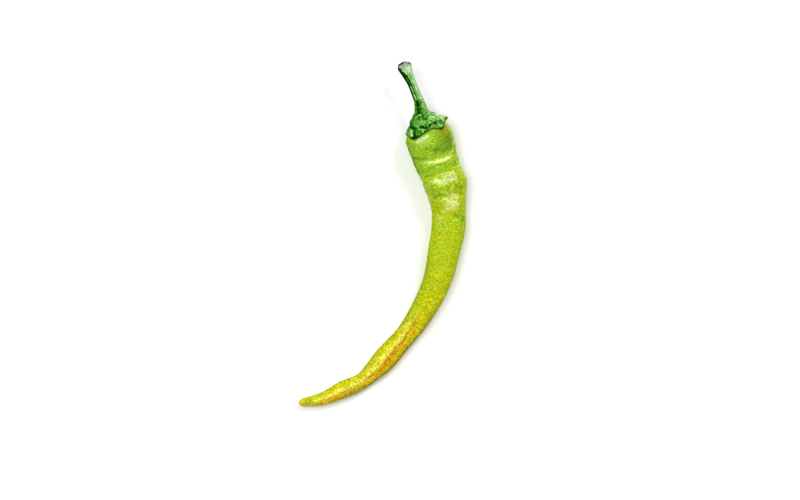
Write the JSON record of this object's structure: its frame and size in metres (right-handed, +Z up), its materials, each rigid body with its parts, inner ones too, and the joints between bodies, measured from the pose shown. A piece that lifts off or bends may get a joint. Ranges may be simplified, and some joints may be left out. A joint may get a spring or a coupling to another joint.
{
  "type": "chilli pepper",
  "caption": "Long, mild, yellow-green chilli pepper with a folded shoulder, a gentle bend and a spiral twist, on its calyx and stalk, lying on its side.",
  "frame": {"origin": "on the surface that the pepper lies on, under the middle of its bounding box", "axes": "+Z up from that surface, +Y towards the stalk's end along the pepper's length, +X towards the outside of its bend"},
  "size_m": [0.091, 0.1863, 0.0268],
  "materials": {
    "fruit_skin": "satin",
    "calyx_green": "matte"
  },
  "bodies": {
    "root": {"fruit": "fruit_skin", "calyx_and_stalk": "calyx_green"}
  },
  "joints": []
}
